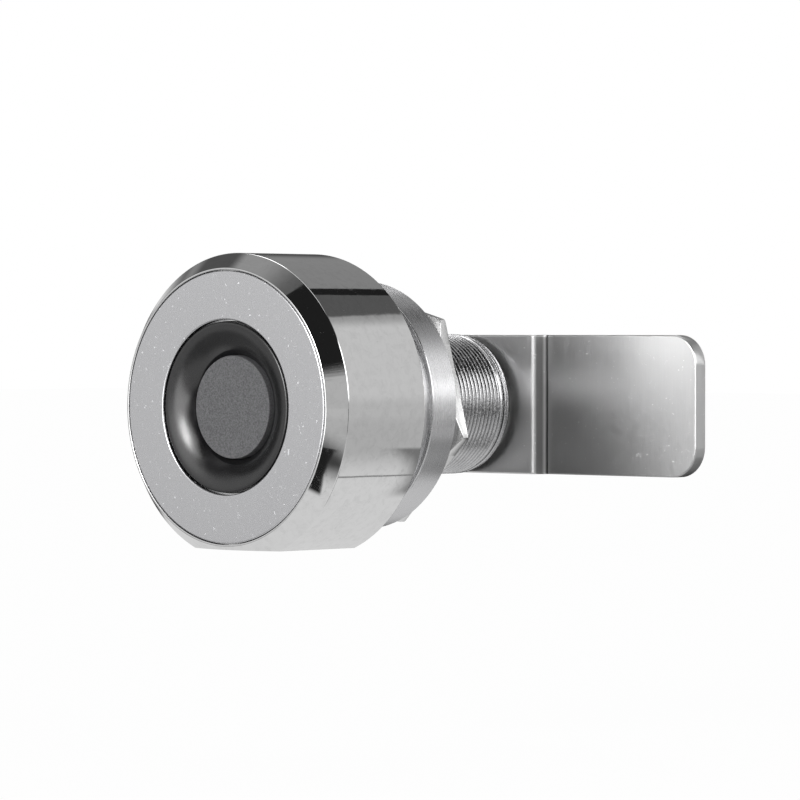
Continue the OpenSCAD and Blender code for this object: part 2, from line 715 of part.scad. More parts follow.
lock_body();
hex_nut();
thrust_washer();
retaining_pins();
front_bush();
rear_bush();
rear_shim();
head_housing();
face_ring();
sensor_bezel();
fingerprint_sensor();
sensor_board();
inner_frame();
battery();
main_board();
usb_socket();
motor_can();
base_plate();
base_screws();
stop_pin();
motor_rotor();
drive_screw();
drive_nut();
clutch_spring();
clutch_pin();
spindle();
cam_plate();
cam_washer();
lock_washer();
cam_screw();
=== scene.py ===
"""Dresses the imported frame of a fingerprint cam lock: finer meshes, materials, light and camera."""
import json
import math

import bmesh
import bpy
from mathutils import Matrix, Vector


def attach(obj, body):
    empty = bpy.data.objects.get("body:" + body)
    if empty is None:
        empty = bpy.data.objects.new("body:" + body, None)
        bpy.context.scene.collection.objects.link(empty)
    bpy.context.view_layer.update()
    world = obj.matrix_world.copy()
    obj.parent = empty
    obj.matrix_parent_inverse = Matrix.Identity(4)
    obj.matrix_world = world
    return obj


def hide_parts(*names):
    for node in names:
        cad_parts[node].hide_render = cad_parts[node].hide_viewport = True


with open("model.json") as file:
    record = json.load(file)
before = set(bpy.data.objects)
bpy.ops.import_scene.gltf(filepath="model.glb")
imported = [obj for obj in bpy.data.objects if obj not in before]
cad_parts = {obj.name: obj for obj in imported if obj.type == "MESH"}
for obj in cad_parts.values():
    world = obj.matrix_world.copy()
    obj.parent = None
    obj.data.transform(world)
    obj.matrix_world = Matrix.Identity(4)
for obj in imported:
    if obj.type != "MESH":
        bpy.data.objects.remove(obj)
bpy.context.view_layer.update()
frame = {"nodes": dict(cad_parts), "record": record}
MM = 0.001

# Sizes in millimetres. The lock's axis is Y. They are the CAD source's, but for the forms made only here:
# the neck with its pins, the thread, the barrel's end, the nut's bevel and the cam's crank, and for the
# painted shade line in the cam's fold.
FACE_Y = -26.8
WEB_Y = -25.6
CAVITY_Y = -24.1
REAR_Y = -9.85
BASE_Y = -11.85
HEAD_R = 20.0
BEVEL_LEN = 2.2
BEVEL_DROP = 1.95
FLAT_H = 18.5
CAVITY_R = 17.0
SEAT_R = 17.62
RECESS_R = 17.8
RING_R = 17.7
HOLE_R = 11.35
BEZEL_R = 11.1
LIP_W = 0.5
LIP_Y = -26.7
SLOPE_R = 5.2
TROUGH = 0.9
FLANGE = 0.8
PAD_R = 6.7
PAD_Y = -25.4
PAD_STEP_R = 7.85
PAD_STEP_Y = -23.55
BEZEL_STEP_R = 7.95
BEZEL_STEP_Y = -23.6
BEZEL_REAR = -22.6
SLOT_HALF = 3.95
SLOT_Y0 = -17.7
SLOT_Y1 = -14.7
COLLAR_R = 16.5
COLLAR_LEN = 9.35
NECK_R = 15.9
COLLAR_FRONT = -4.9
PIN_R = 0.75
PIN_Y = -5.8
PIN_IN = 10.2
BARREL_R = 9.5
BARREL_LEN = 19.1
GROOVE_Y0 = 17.1
GROOVE_Y1 = 17.5
THREAD_PITCH = 0.72
THREAD_DEEP = 0.22
GROOVE_R = BARREL_R - 0.5
RIM_R = BARREL_R - 0.05
END_Y = 18.3
END_R = 8.7
BORE_R = 7.0
BORE_Y = 0.6
SPINDLE_SEAT_R = 8.1
HUB_SEAT_R = 11.05
HUB_SEAT_Y = -2.9
NUT_FLATS = 28.0
NUT_T = 3.2
NUT_TURN = 45.0
NUT_SEAT_R = 13.0
NUT_BEVEL = 35.0
CAM_Y = 19.55
CAM_T = 2.05
CAM_W = 18.8
CAM_REACH = 39.2
CAM_CRANK = 2.0
CAM_HOLE = 3.55
CRANK_START = 12.7
CRANK_BACK = 1.0
CRANK_ANGLE = 70.0
CRANK_OUTER_R = 0.9
CRANK_INNER_R = 0.1
TIP_R = 4.0
# where the painted dark shade line lies in the crank's fold
FOLD_X = 13.36
FOLD_W = 0.22
FOLD_Y = 21.7
WASHER_HOLE_R = 2.7
WASHER_R = 6.2
WASHER_Y0 = 21.6
WASHER_Y1 = 22.6
SCREW_FLATS = 8.0
SCREW_HEAD_Y0 = 23.7
SCREW_HEAD_Y1 = 27.2
SCREW_R = 2.5
SCREW_LEN = 13.0


# Node helpers

def give(tree, socket, value):
    """Links the socket to another one, or sets it to a value."""
    if isinstance(value, bpy.types.NodeSocket):
        tree.links.new(value, socket)
    else:
        socket.default_value = value


def node(tree, kind, settings=None, **inputs):
    """A shader node. Its inputs, by name or as i and a number, are values or the sockets that feed them."""
    made = tree.nodes.new(kind)
    for key, value in (settings or {}).items():
        setattr(made, key, value)
    for key, value in inputs.items():
        name = key.replace("_", " ")
        numbered = name[0] == "i" and name[1:].isdigit()
        give(tree, made.inputs[int(name[1:]) if numbered else name], value)
    return made


def maths(tree, operation, *values):
    made = node(tree, "ShaderNodeMath", {"operation": operation})
    for socket, value in zip(made.inputs, values):
        give(tree, socket, value)
    return made.outputs[0]


def ramp(tree, value, low, high, to_low=0.0, to_high=1.0, smooth=True):
    """value from low to high becomes to_low to to_high, held outside."""
    made = node(tree, "ShaderNodeMapRange", {"interpolation_type": "SMOOTHSTEP" if smooth else "LINEAR"})
    for index, item in enumerate((value, low, high, to_low, to_high)):
        give(tree, made.inputs[index], item)
    return made.outputs[0]


def band(tree, value, low, high, soft):
    """1 between low and high, with soft edges."""
    rise = ramp(tree, value, low - soft, low + soft)
    fall = ramp(tree, value, high - soft, high + soft, 1.0, 0.0)
    return maths(tree, "MULTIPLY", rise, fall)


def both(tree, *masks):
    """1 where all the masks are 1."""
    made = masks[0]
    for mask in masks[1:]:
        made = maths(tree, "MULTIPLY", made, mask)
    return made


def vector(tree, x, y, z):
    return node(tree, "ShaderNodeCombineXYZ", i0=x, i1=y, i2=z).outputs[0]


def place_mm(tree):
    """The point on the piece in millimetres, which turns with the piece."""
    coords = tree.nodes.new("ShaderNodeTexCoord")
    made = node(tree, "ShaderNodeVectorMath", {"operation": "SCALE"}, i0=coords.outputs["Object"])
    made.inputs["Scale"].default_value = 1000.0
    return made.outputs[0]


def split(tree, value):
    made = node(tree, "ShaderNodeSeparateXYZ", i0=value)
    return made.outputs[0], made.outputs[1], made.outputs[2]


def stretched(tree, value, scale):
    made = node(tree, "ShaderNodeVectorMath", {"operation": "MULTIPLY"}, i0=value)
    made.inputs[1].default_value = scale
    return made.outputs[0]


def noise(tree, value, scale=1.0, detail=3.0, rough=0.55, distortion=0.0):
    made = node(tree, "ShaderNodeTexNoise", {"noise_dimensions": "3D"}, Vector=value, Scale=scale,
                Detail=detail, Roughness=rough, Distortion=distortion)
    return made.outputs[0]


def length(tree, x, y):
    """The distance of x, y from nought."""
    squares = maths(tree, "ADD", maths(tree, "MULTIPLY", x, x), maths(tree, "MULTIPLY", y, y))
    return maths(tree, "SQRT", squares)


def around(tree, value, radius):
    """The point unrolled round the Y axis: along the turn, along the axis, and out from it."""
    x, y, z = split(tree, value)
    angle = maths(tree, "ARCTAN2", z, x)
    return vector(tree, maths(tree, "MULTIPLY", angle, radius), y, length(tree, x, z))


def mixed(tree, factor, low, high):
    """A colour between low and high, which are colours or the sockets that feed them."""
    made = node(tree, "ShaderNodeMix", {"data_type": "RGBA"})
    for socket, value in ((made.inputs[0], factor), (made.inputs[6], low), (made.inputs[7], high)):
        if isinstance(value, tuple):
            value += (1.0,)
        give(tree, socket, value)
    return made.outputs[2]


def lines(tree, value, scale, width):
    """Thin broken lines where a stretched noise crosses its middle."""
    field = noise(tree, stretched(tree, value, scale), 1.0, 1.0, 0.5)
    off = maths(tree, "ABSOLUTE", maths(tree, "SUBTRACT", field, 0.5))
    return ramp(tree, off, 0.0, width, 1.0, 0.0)


def material(name, metallic=1.0, **fixed):
    """A new material with its Principled shader; fixed sets sockets of the shader."""
    made = bpy.data.materials.new("look_" + name)
    made.use_nodes = True
    tree = made.node_tree
    shader = tree.nodes["Principled BSDF"]
    shader.inputs["Metallic"].default_value = metallic
    for key, value in fixed.items():
        shader.inputs[key.replace("_", " ")].default_value = value
    return made, tree, shader


def bump(tree, shader, height, strength, distance=0.00002):
    made = node(tree, "ShaderNodeBump", Height=height, Strength=strength, Distance=distance)
    tree.links.new(made.outputs[0], shader.inputs["Normal"])


def feed(tree, shader, name, socket):
    tree.links.new(socket, shader.inputs[name])


# Materials

def painted_cam_shade(tree, place, colour):
    """The cam's colour, with painted shade: darker beside the crank, darker on its slope and dark in its
    fold.
    """
    x, y, z = split(tree, place)
    front = ramp(tree, y, FOLD_Y, FOLD_Y + 0.1, 1.0, 0.0)
    slant = maths(tree, "ADD", x, maths(tree, "MULTIPLY", z, 0.9))
    # painted shade beside the crank, darkest low down, fading out towards the tip and the top
    painted_shade_by_crank = both(tree, ramp(tree, slant, 14.0, 36.0, 0.58, 0.0), ramp(tree, x, FOLD_X, FOLD_X + 0.15))
    # painted shade on the crank's slope
    slope = both(tree, band(tree, x, CRANK_START + 0.1, FOLD_X - 0.15, 0.08), front, 0.6)
    colour = mixed(tree, maths(tree, "MAXIMUM", painted_shade_by_crank, slope), colour, (0.0, 0.0, 0.0))
    # a painted dark shade line in the crank's fold
    painted_fold_shade = both(tree, band(tree, x, FOLD_X, FOLD_X + FOLD_W, 0.07), front, 0.93)
    return mixed(tree, painted_fold_shade, colour, (0.01, 0.01, 0.01))


def brushed(name, tone, spread, rough, grain, unroll=None, scratch=0.25, bump_strength=0.25, blotch=0.5,
            lathe=0.0, play=0.055, upright=0.0, mark_tone=0.55):
    """Satin metal. grain stretches the noise along the brushing; unroll is a radius for turned pieces.
    lathe is how far a lathe's marks spread the reflections along the axis, upright how far an upright
    grain spreads them sideways and, when set, brings the cam's painted shade, and play how far the gloss
    varies. A mark_tone over 1 paints the scratches light, with flecks beside them, as painted glints."""
    made, tree, shader = material(name)
    if lathe:
        shader.inputs["Anisotropic"].default_value = lathe
        shader.inputs["Anisotropic Rotation"].default_value = 0.25
        tangent = node(tree, "ShaderNodeTangent", {"direction_type": "RADIAL", "axis": "Y"})
        tree.links.new(tangent.outputs[0], shader.inputs["Tangent"])
    if upright:
        shader.inputs["Anisotropic"].default_value = upright
        tangent = node(tree, "ShaderNodeTangent", {"direction_type": "UV_MAP", "uv_map": GRAIN_MAP})
        tree.links.new(tangent.outputs[0], shader.inputs["Tangent"])
    place = place_mm(tree)
    if unroll:
        place = around(tree, place, unroll)
    fine = noise(tree, stretched(tree, place, grain), 1.0, 4.0, 0.65)
    broad = noise(tree, place, 0.22, 2.0, 0.5)
    cloud = noise(tree, place, 1.6, 3.0, 0.6)
    mark = lines(tree, place, (0.35, 0.06, 1.1), 0.0035)
    mark = maths(tree, "MULTIPLY", mark, ramp(tree, cloud, 0.52, 0.66))
    # with mark_tone over 1, the scratches and flecks are painted light: painted glints
    if mark_tone > 1.0:
        short = lines(tree, place, (0.9, 0.5, 0.45), 0.006)
        short = maths(tree, "MULTIPLY", short, ramp(tree, noise(tree, place, 0.8, 1.0), 0.6, 0.66))
        glint_fleck = ramp(tree, noise(tree, place, 2.4, 0.0), 0.81, 0.83)
        mark = maths(tree, "MAXIMUM", mark, maths(tree, "MAXIMUM", short, glint_fleck))
    shade = maths(tree, "ADD", maths(tree, "MULTIPLY", fine, 0.75), maths(tree, "MULTIPLY", broad, 0.25))
    low = tuple(c - spread for c in tone)
    high = tuple(min(1.0, c + spread) for c in tone)
    colour = mixed(tree, ramp(tree, shade, 0.3, 0.7, smooth=False), low, high)
    # the marks take mark_tone: darker below 1, painted glints above 1
    colour = mixed(tree, maths(tree, "MULTIPLY", mark, scratch), colour, tuple(c * mark_tone for c in tone))
    # an upright grain also brings the cam's painted shade
    if upright:
        colour = painted_cam_shade(tree, place, colour)
    feed(tree, shader, "Base Color", colour)
    level = maths(tree, "ADD", ramp(tree, fine, 0.3, 0.7, rough - play, rough + play),
                  ramp(tree, cloud, 0.35, 0.7, 0.0, 0.06 * blotch))
    if mark_tone > 1.0:
        level = maths(tree, "ADD", level, maths(tree, "MULTIPLY", mark, 0.25))
    feed(tree, shader, "Roughness", level)
    bump(tree, shader, maths(tree, "SUBTRACT", fine, mark), bump_strength)
    return made


def polished(name, tone, rough=0.05, wave=0.06, smear=0.06):
    """Plated metal: faint waviness, smears and a few fine scratches."""
    made, tree, shader = material(name)
    place = place_mm(tree)
    soft = noise(tree, place, 0.35, 2.0, 0.5)
    smudge = noise(tree, place, 0.9, 5.0, 0.62, 0.6)
    speck = noise(tree, place, 9.0, 2.0, 0.5)
    mark = lines(tree, place, (0.5, 0.12, 1.3), 0.003)
    mark = maths(tree, "MULTIPLY", mark, ramp(tree, smudge, 0.55, 0.62))
    colour = mixed(tree, ramp(tree, smudge, 0.4, 0.7), tone, tuple(c * 0.93 for c in tone))
    colour = mixed(tree, maths(tree, "MULTIPLY", mark, 0.4), colour, (0.45, 0.45, 0.45))
    feed(tree, shader, "Base Color", colour)
    level = ramp(tree, smudge, 0.48, 0.72, rough, rough + smear)
    feed(tree, shader, "Roughness", maths(tree, "ADD", level, maths(tree, "MULTIPLY", mark, 0.2)))
    height = maths(tree, "ADD", soft, maths(tree, "MULTIPLY", speck, 0.02))
    bump(tree, shader, height, wave, 0.0001)
    return made


def threaded(name, tone):
    """Plated thread: painted shade in the valleys and on the barrel's end, with a dotted sparkle along the
    turns.
    """
    made, tree, shader = material(name)
    place = around(tree, place_mm(tree), BARREL_R)
    _, axial, out = split(tree, place)
    # painted shade: darker down in the valleys and the groove, almost black on the barrel's end face
    painted_thread_shade = ramp(tree, out, BARREL_R - THREAD_DEEP, BARREL_R - 0.05, 1.0, 0.0)
    painted_thread_shade = maths(tree, "MULTIPLY", painted_thread_shade, ramp(tree, axial, GROOVE_Y1, GROOVE_Y1 + 0.1, 1.0, 0.0))
    painted_thread_shade = maths(tree, "MAXIMUM", painted_thread_shade, ramp(tree, axial, END_Y - 0.08, END_Y + 0.02, 0.0, 2.0))
    dots = noise(tree, stretched(tree, place, (3.4, 4.2, 0.2)), 1.0, 2.0, 0.6)
    cloud = noise(tree, place, 0.45, 3.0, 0.6)
    colour = mixed(tree, ramp(tree, dots, 0.36, 0.62), tuple(c * 0.72 for c in tone), tone)
    colour = mixed(tree, ramp(tree, cloud, 0.35, 0.65, 0.0, 0.3), colour, tuple(c * 0.6 for c in tone))
    # the painted shade takes the colour towards black
    colour = mixed(tree, maths(tree, "MULTIPLY", painted_thread_shade, 0.45), colour, (0.05, 0.05, 0.052))
    feed(tree, shader, "Base Color", colour)
    feed(tree, shader, "Roughness", ramp(tree, dots, 0.3, 0.7, 0.14, 0.34))
    bump(tree, shader, dots, 0.35, 0.00005)
    return made


def plastic(name, tone, rough, speck=0.03, scale=9.0, bump_strength=0.1, specular=0.5):
    made, tree, shader = material(name, 0.0)
    shader.inputs["Specular IOR Level"].default_value = specular
    place = place_mm(tree)
    grain = noise(tree, place, scale, 3.0, 0.6)
    cloud = noise(tree, place, 0.5, 2.0, 0.5)
    low = tuple(max(0.0, c - speck) for c in tone)
    high = tuple(c + speck for c in tone)
    feed(tree, shader, "Base Color", mixed(tree, ramp(tree, grain, 0.3, 0.7), low, high))
    both_noises = maths(tree, "ADD", grain, cloud)
    feed(tree, shader, "Roughness", ramp(tree, both_noises, 0.7, 1.3, rough - 0.04, rough + 0.05))
    bump(tree, shader, grain, bump_strength)
    return made


CHROME = (0.83, 0.83, 0.83)
GRAIN_MAP = "grain"
ALL_WAYS = (3.0, 3.0, 3.0)
# one look for each material slot of the record
LOOKS = {
    "head_chrome": polished("head_chrome", CHROME, 0.035, 0.05, 0.05),
    # the face ring's light scratches and flecks are painted glints
    "face_satin": brushed("face_satin", (0.70, 0.70, 0.715), 0.006, 0.24, (2.2, 1.0, 0.2), scratch=0.9,
                          bump_strength=0.003, blotch=0.7, play=0.006, mark_tone=1.35),
    "bezel_black": plastic("bezel_black", (0.005, 0.005, 0.0055), 0.22, 0.003, 6.0, 0.35, 0.9),
    "sensor_grey": plastic("sensor_grey", (0.112, 0.112, 0.116), 0.55, 0.04, 6.0, 0.4, 0.3),
    "collar_zinc": brushed("collar_zinc", (0.75, 0.75, 0.76), 0.03, 0.27, (0.06, 9.0, 1.0), COLLAR_R,
                           scratch=0.2, bump_strength=0.1, blotch=0.3, lathe=0.75, play=0.03),
    "nut_zinc": brushed("nut_zinc", (0.80, 0.80, 0.80), 0.08, 0.2, (5.0, 5.0, 5.0), scratch=0.1,
                        bump_strength=0.35, blotch=0.4),
    # the cam: painted glints on its scratches, and painted shade by its crank, on its slope and in its fold
    "cam_steel": brushed("cam_steel", (0.71, 0.71, 0.71), 0.02, 0.33, (8.0, 1.0, 0.3), scratch=0.8,
                         bump_strength=0.05, upright=0.68, play=0.02, mark_tone=1.4),
    "washer_steel": brushed("washer_steel", (0.70, 0.70, 0.69), 0.06, 0.22, (0.3, 3.0, 5.0), 5.0),
    "screw_steel": brushed("screw_steel", (0.66, 0.66, 0.66), 0.05, 0.2, ALL_WAYS),
    "spindle_zinc": brushed("spindle_zinc", (0.70, 0.70, 0.70), 0.05, 0.2, (0.4, 5.0, 5.0), 5.0),
    "base_zinc": brushed("base_zinc", (0.62, 0.62, 0.62), 0.05, 0.3, ALL_WAYS),
    "bush_bronze": brushed("bush_bronze", (0.55, 0.36, 0.16), 0.06, 0.35, ALL_WAYS),
    "lead_brass": brushed("lead_brass", (0.72, 0.52, 0.22), 0.05, 0.22, (1.0, 5.0, 1.0), 2.0),
    "rotor_copper": brushed("rotor_copper", (0.60, 0.30, 0.14), 0.06, 0.3, (0.5, 6.0, 1.0), 2.0),
    "pin_steel": brushed("pin_steel", (0.56, 0.56, 0.56), 0.05, 0.25, (1.0, 4.0, 1.0), 3.0),
    "spring_steel": polished("spring_steel", (0.52, 0.52, 0.52), 0.15),
    "can_steel": polished("can_steel", (0.58, 0.58, 0.58), 0.15),
    "socket_steel": polished("socket_steel", (0.66, 0.66, 0.66), 0.15),
    "dark_acetal": plastic("dark_acetal", (0.05, 0.05, 0.05), 0.4),
    "frame_plastic": plastic("frame_plastic", (0.06, 0.06, 0.065), 0.45),
    "board_green": plastic("board_green", (0.03, 0.14, 0.06), 0.35),
    "cell_wrap": plastic("cell_wrap", (0.08, 0.16, 0.42), 0.25),
}
# the thread has the collar's plating, without its brushing
thread_look = threaded("thread_zinc", (0.76, 0.76, 0.77))


# Mesh helpers

def filleted(points, steps=4):
    """A closed outline with its corners rounded: points are (x, y, radius)."""
    made = []
    count = len(points)
    for index, (x, y, radius) in enumerate(points):
        corner = Vector((x, y))
        if radius <= 0:
            made.append((x, y))
            continue
        back = Vector(points[index - 1][:2]) - corner
        on = Vector(points[(index + 1) % count][:2]) - corner
        most = 0.45 * min(back.length, on.length)
        back.normalize()
        on.normalize()
        half = back.angle(on) / 2
        reach = min(radius / math.tan(half), most)
        centre = corner + (back + on).normalized() * (reach / math.cos(half))
        first = corner + back * reach - centre
        last = corner + on * reach - centre
        turn = first.angle_signed(last)
        for step in range(steps + 1):
            angle = -turn * step / steps
            c, s = math.cos(angle), math.sin(angle)
            made.append((centre.x + first.x * c - first.y * s, centre.y + first.x * s + first.y * c))
    return made


def finish_mesh(piece, sharp=35.0):
    """Smooth shading with sharp corners, and broad faces that keep their own direction."""
    mesh = piece.data
    mesh.polygons.foreach_set("use_smooth", [True] * len(mesh.polygons))
    mesh.set_sharp_from_angle(angle=math.radians(sharp))
    made = piece.modifiers.new("weighted", "WEIGHTED_NORMAL")
    made.keep_sharp = True
    made.weight = 80
    bake(piece)


def bake(piece):
    """Applies the modifiers."""
    graph = bpy.context.evaluated_depsgraph_get()
    graph.update()
    solid = piece.evaluated_get(graph)
    mesh = bpy.data.meshes.new_from_object(solid, preserve_all_data_layers=True, depsgraph=graph)
    piece.modifiers.clear()
    mesh.name = piece.name
    piece.data = mesh


def place_piece(piece, slot, body, replaced):
    """The piece takes its slot's look, rides on body and stands for the CAD nodes in replaced."""
    piece.data.materials.clear()
    piece.data.materials.append(LOOKS[slot])
    bpy.context.scene.collection.objects.link(piece)
    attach(piece, body)
    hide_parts(*replaced)
    return piece


def new_piece(name, points, faces, slot, body, *replaced):
    """A mesh piece from points in millimetres."""
    mesh = bpy.data.meshes.new(name)
    mesh.from_pydata([tuple(c * MM for c in p) for p in points], [], faces)
    made = bmesh.new()
    made.from_mesh(mesh)
    bmesh.ops.recalc_face_normals(made, faces=made.faces)
    made.to_mesh(mesh)
    made.free()
    return place_piece(bpy.data.objects.new(name, mesh), slot, body, replaced)


def turned(profile, steps=256, shape=None):
    """Points and faces of a closed outline of (radius, y) turned about Y. shape moves each point."""
    points = []
    count = len(profile)
    for row, (radius, y) in enumerate(profile):
        for col in range(steps):
            angle = 2 * math.pi * col / steps
            r, h = shape(row, radius, y, angle) if shape else (radius, y)
            points.append((r * math.cos(angle), h, r * math.sin(angle)))
    faces = []
    for row in range(count):
        for col in range(steps):
            a, b = row * steps, ((row + 1) % count) * steps
            nxt = (col + 1) % steps
            faces.append((a + col, a + nxt, b + nxt, b + col))
    return points, faces


def disc(profile, steps=192):
    """An outline of (radius, y) that starts and ends on the axis, turned about Y."""
    ring = profile[1:-1]
    points, faces = turned(ring, steps)
    last = (len(ring) - 1) * steps
    faces = [f for f in faces if not (f[0] >= last and f[2] < steps)]
    ends = []
    for y in (profile[0][1], profile[-1][1]):
        ends.append(len(points))
        points.append((0.0, y, 0.0))
    for col in range(steps):
        nxt = (col + 1) % steps
        faces.append((ends[0], nxt, col))
        faces.append((ends[1], last + col, last + nxt))
    return points, faces


def cut_with(piece, low, high, spin=0.0, round_steps=0):
    """Takes a box, or a cylinder along the box's X, out of the piece."""
    made = bmesh.new()
    if round_steps:
        bmesh.ops.create_cone(made, cap_ends=True, segments=round_steps, radius1=0.5, radius2=0.5, depth=1.0,
                              matrix=Matrix.Rotation(math.pi / 2, 4, "Y"))
    else:
        bmesh.ops.create_cube(made, size=1.0)
    low, high = Vector(low), Vector(high)
    size, mid = high - low, (low + high) / 2
    for v in made.verts:
        v.co = Matrix.Rotation(spin, 3, "Y") @ Vector([v.co[i] * size[i] + mid[i] for i in range(3)]) * MM
    bmesh.ops.recalc_face_normals(made, faces=made.faces)
    mesh = bpy.data.meshes.new("cutter")
    made.to_mesh(mesh)
    made.free()
    cutter = bpy.data.objects.new("cutter", mesh)
    bpy.context.scene.collection.objects.link(cutter)
    modifier = piece.modifiers.new("cut", "BOOLEAN")
    modifier.operation = "DIFFERENCE"
    modifier.solver = "EXACT"
    modifier.object = cutter
    bake(piece)
    bpy.data.objects.remove(cutter)


# Knob head: outer skin, recess for the ring, cavity and the step for the base plate

def make_head():
    rim = HEAD_R - BEVEL_DROP
    outline = filleted([
        (BEZEL_R + 0.1, WEB_Y, 0), (RECESS_R, WEB_Y, 0), (RECESS_R, FACE_Y, 0.08), (rim, FACE_Y, 0.14),
        (HEAD_R, FACE_Y + BEVEL_LEN, 0.3), (HEAD_R, REAR_Y - 0.4, 0.2), (HEAD_R - 0.4, REAR_Y, 0.15),
        (SEAT_R, REAR_Y, 0.08), (SEAT_R, BASE_Y, 0), (CAVITY_R, BASE_Y, 0), (CAVITY_R, CAVITY_Y, 0),
        (BEZEL_R + 0.1, CAVITY_Y, 0),
    ])
    points, faces = turned(outline, 288)
    piece = new_piece("head_shell", points, faces, "head_chrome", "knob", "head_housing")
    # the flat, and the charging slot through it
    below = -HEAD_R - 4
    cut_with(piece, (-15, FACE_Y - 2, below), (15, REAR_Y + 2, -FLAT_H))
    cut_with(piece, (-SLOT_HALF, SLOT_Y0, below), (SLOT_HALF, SLOT_Y1, -CAVITY_R + 3))
    finish_mesh(piece, 30)


def make_ring():
    points, faces = turned(filleted([
        (HOLE_R, WEB_Y, 0), (RING_R, WEB_Y, 0), (RING_R, FACE_Y, 0.18), (HOLE_R, FACE_Y, 0.2),
    ]), 288)
    piece = new_piece("face_plate_ring", points, faces, "face_satin", "knob", "face_ring")
    finish_mesh(piece)


def dish_outline():
    """The bezel in section: a rolled slope from the trough up to the lip, and the flange behind the web."""
    lip = Vector((BEZEL_R - LIP_W, LIP_Y))
    foot = Vector((PAD_R + 0.1, PAD_Y + TROUGH))
    along = (lip - foot).normalized()
    rise = math.sqrt(SLOPE_R ** 2 - ((lip - foot).length / 2) ** 2)
    centre = (lip + foot) / 2 + rise * Vector((-along.y, along.x))
    first, last = foot - centre, lip - centre
    turn = first.angle_signed(last)
    arc = []
    for step in range(29):
        angle = -turn * step / 28
        c, s = math.cos(angle), math.sin(angle)
        arc.append((centre.x + first.x * c - first.y * s, centre.y + first.x * s + first.y * c))
    edge = filleted([(lip.x, LIP_Y, 0), (BEZEL_R, LIP_Y, 0.3), (BEZEL_R, WEB_Y, 0)], 5)[1:-1]
    return arc + edge + [
        (BEZEL_R, CAVITY_Y), (BEZEL_R + FLANGE, CAVITY_Y), (BEZEL_R + FLANGE, BEZEL_REAR),
        (BEZEL_STEP_R, BEZEL_REAR), (BEZEL_STEP_R, BEZEL_STEP_Y), (PAD_R + 0.1, BEZEL_STEP_Y),
    ]


def make_bezel():
    points, faces = turned(dish_outline(), 192)
    finish_mesh(new_piece("bezel_dish", points, faces, "bezel_black", "knob", "sensor_bezel"))


def make_pad():
    outline = [(0.0, PAD_Y)]
    outline += [(PAD_R - 0.15, PAD_Y), (PAD_R - 0.04, PAD_Y + 0.05), (PAD_R, PAD_Y + 0.16)]
    outline += [(PAD_R, PAD_STEP_Y), (PAD_STEP_R, PAD_STEP_Y), (PAD_STEP_R, BEZEL_REAR), (0.0, BEZEL_REAR)]
    points, faces = disc(outline)
    finish_mesh(new_piece("finger_pad", points, faces, "sensor_grey", "knob", "fingerprint_sensor"))


# Lock body: collar, threaded barrel with its groove and end ring, bore and hub seat

def make_body():
    front = filleted([
        (HUB_SEAT_R, -COLLAR_LEN, 0.1), (NECK_R, -COLLAR_LEN, 0.15), (NECK_R, COLLAR_FRONT, 0.06),
        (COLLAR_R, COLLAR_FRONT, 0.25), (COLLAR_R, -0.3, 0.1), (COLLAR_R - 0.3, 0.0, 0.1), (BARREL_R, 0.0, 0),
    ])[:-1]
    start, end = 0.4, GROOVE_Y0 - 0.05
    rows = 10 * int((end - start) / THREAD_PITCH) + 1
    thread = [(BARREL_R, start + (end - start) * i / rows) for i in range(rows + 1)]
    rear = filleted([
        (GROOVE_R, GROOVE_Y0, 0), (GROOVE_R, GROOVE_Y1, 0), (RIM_R, GROOVE_Y1, 0.2), (RIM_R, END_Y, 0.22),
        (END_R, END_Y, 0.1), (END_R, BARREL_LEN, 0.15), (BORE_R, BARREL_LEN, 0.15), (BORE_R, BORE_Y, 0),
        (SPINDLE_SEAT_R, BORE_Y, 0), (SPINDLE_SEAT_R, HUB_SEAT_Y, 0), (HUB_SEAT_R, HUB_SEAT_Y, 0),
    ])
    outline = front + [(BARREL_R, 0.0)] + thread + rear
    first = len(front) + 1
    last = first + len(thread)

    def groove(row, radius, y, angle):
        if not first <= row < last:
            return radius, y
        phase = (y / THREAD_PITCH - angle / (2 * math.pi)) % 1.0
        ridge = abs(2 * phase - 1)
        depth = THREAD_DEEP * min(1.0, max(0.0, (ridge - 0.12) / 0.76))
        run = min(1.0, (y - start) / 0.8, (end - y) / 0.9)
        return radius - depth * max(0.0, run), y

    points, faces = turned(outline, 256, groove)
    piece = new_piece("threaded_body", points, faces, "collar_zinc", "fixed_body", "lock_body")
    piece.data.materials.append(thread_look)
    for face in piece.data.polygons:
        if face.center.y > 0.0002:
            face.material_index = 1
    for spin in (math.pi, math.pi / 2):
        hole = PIN_R + 0.02
        cut_with(piece, (PIN_IN, PIN_Y - hole, -hole), (18.0, PIN_Y + hole, hole), spin, 32)
    finish_mesh(piece, 40)


def make_pins():
    """The two cross pins, driven in just under the neck's skin."""
    end = NECK_R - 0.2
    outline = filleted([(0, PIN_IN, 0), (PIN_R, PIN_IN, 0.15), (PIN_R, end, 0.2), (0, end, 0)])
    points, faces = disc(outline, 48)
    count = len(points)
    beside = [(-y, PIN_Y + x, z) for x, y, z in points]
    under = [(x, PIN_Y + z, -y) for x, y, z in points]
    faces += [tuple(count + i for i in face) for face in faces]
    finish_mesh(new_piece("cross_pins", beside + under, faces, "screw_steel", "fixed_body", "retaining_pins"))


